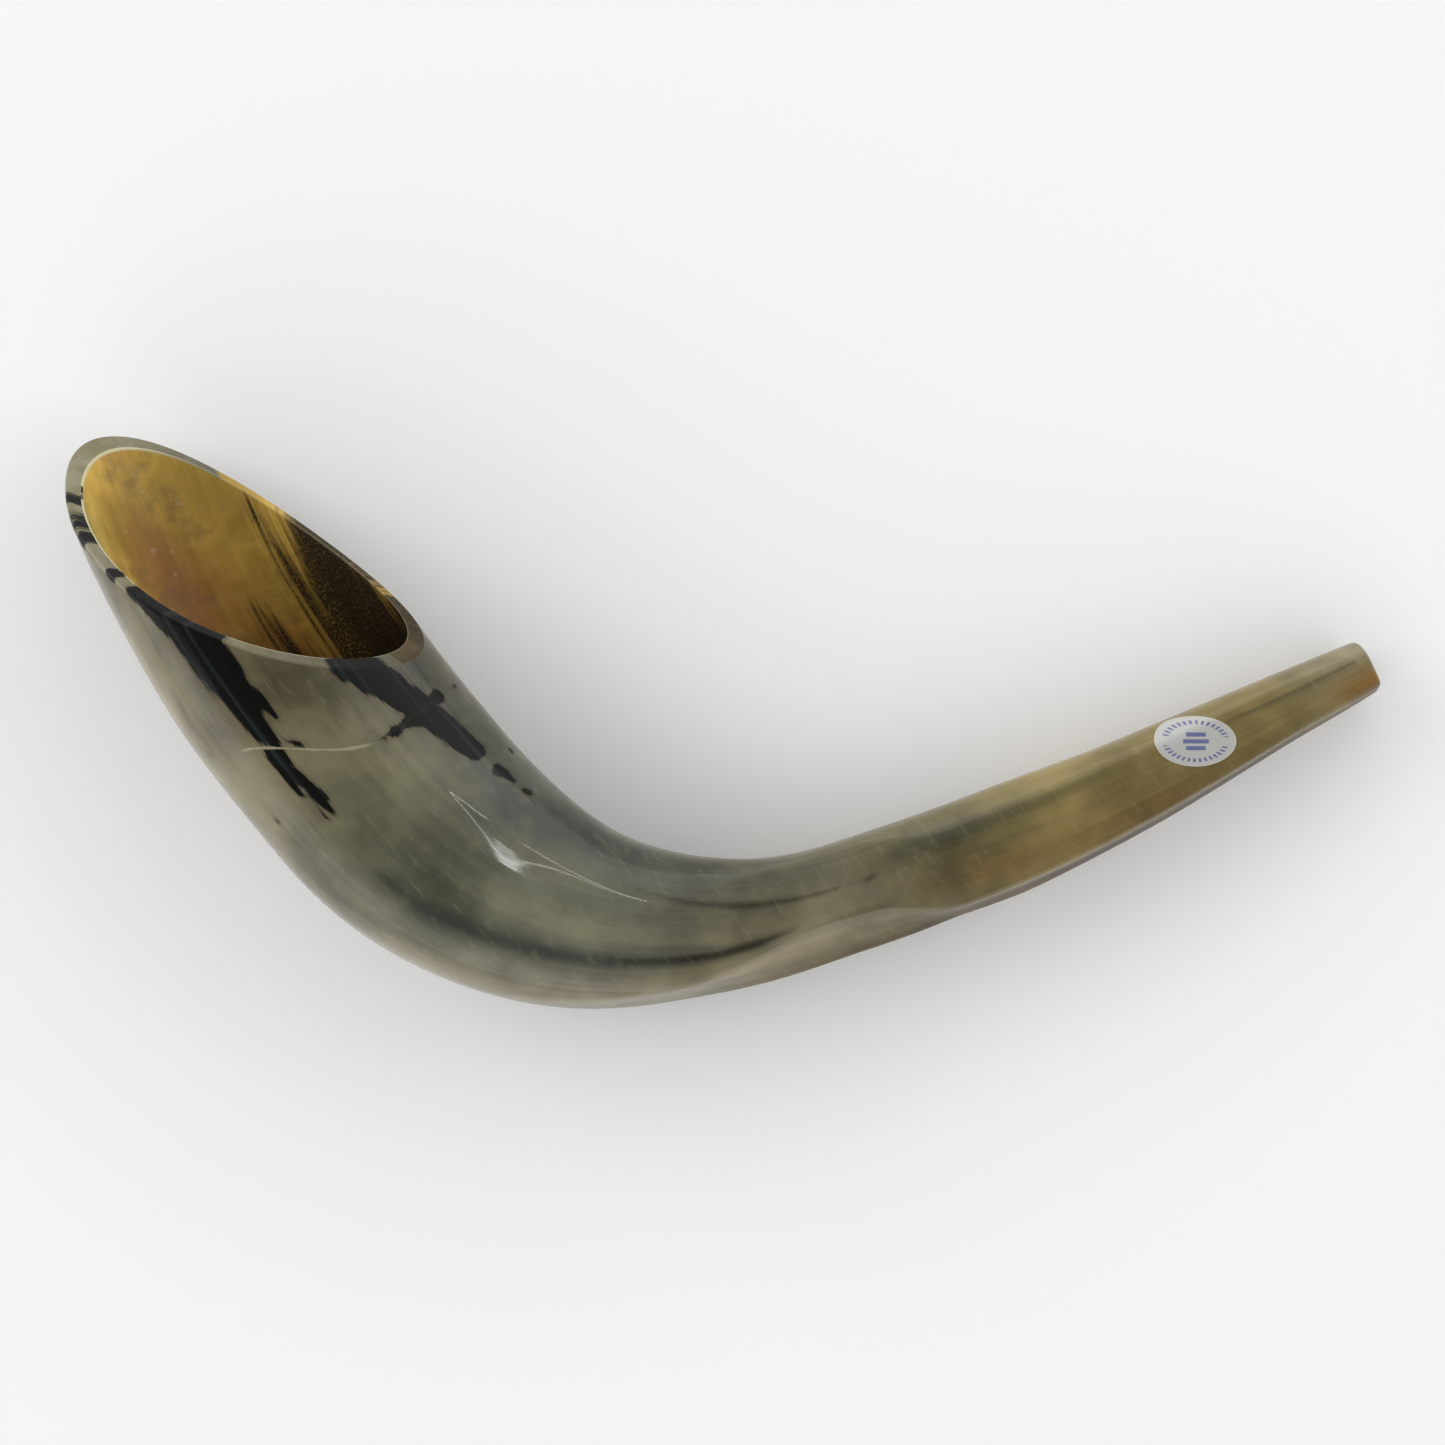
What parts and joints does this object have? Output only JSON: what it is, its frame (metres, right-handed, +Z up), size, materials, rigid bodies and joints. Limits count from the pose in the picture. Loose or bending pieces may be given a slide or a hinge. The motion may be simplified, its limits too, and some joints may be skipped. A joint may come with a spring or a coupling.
{
  "type": "shofar",
  "caption": "Ram's horn blown as a wind instrument, lying on its side: narrow stem, strong bend, flared bell sawn off slanting, drilled mouthpiece end and an oval label.",
  "frame": {"origin": "on the floor under the middle of the horn's box, with the horn lying on its side", "axes": "+X along the horn's length towards the mouthpiece end, +Y towards the side that the bell opens on, +Z up, which is the side that carries the label"},
  "size_m": [0.3294, 0.1436, 0.0584],
  "materials": {
    "horn": "polished natural horn, grey-olive to beige with black streaks",
    "label_adhesive": "clear adhesive film",
    "label_paper": "white printed sticker, semi-gloss"
  },
  "bodies": {
    "root": {"horn": "horn", "label_adhesive": "label_adhesive", "label_paper": "label_paper"}
  },
  "joints": []
}
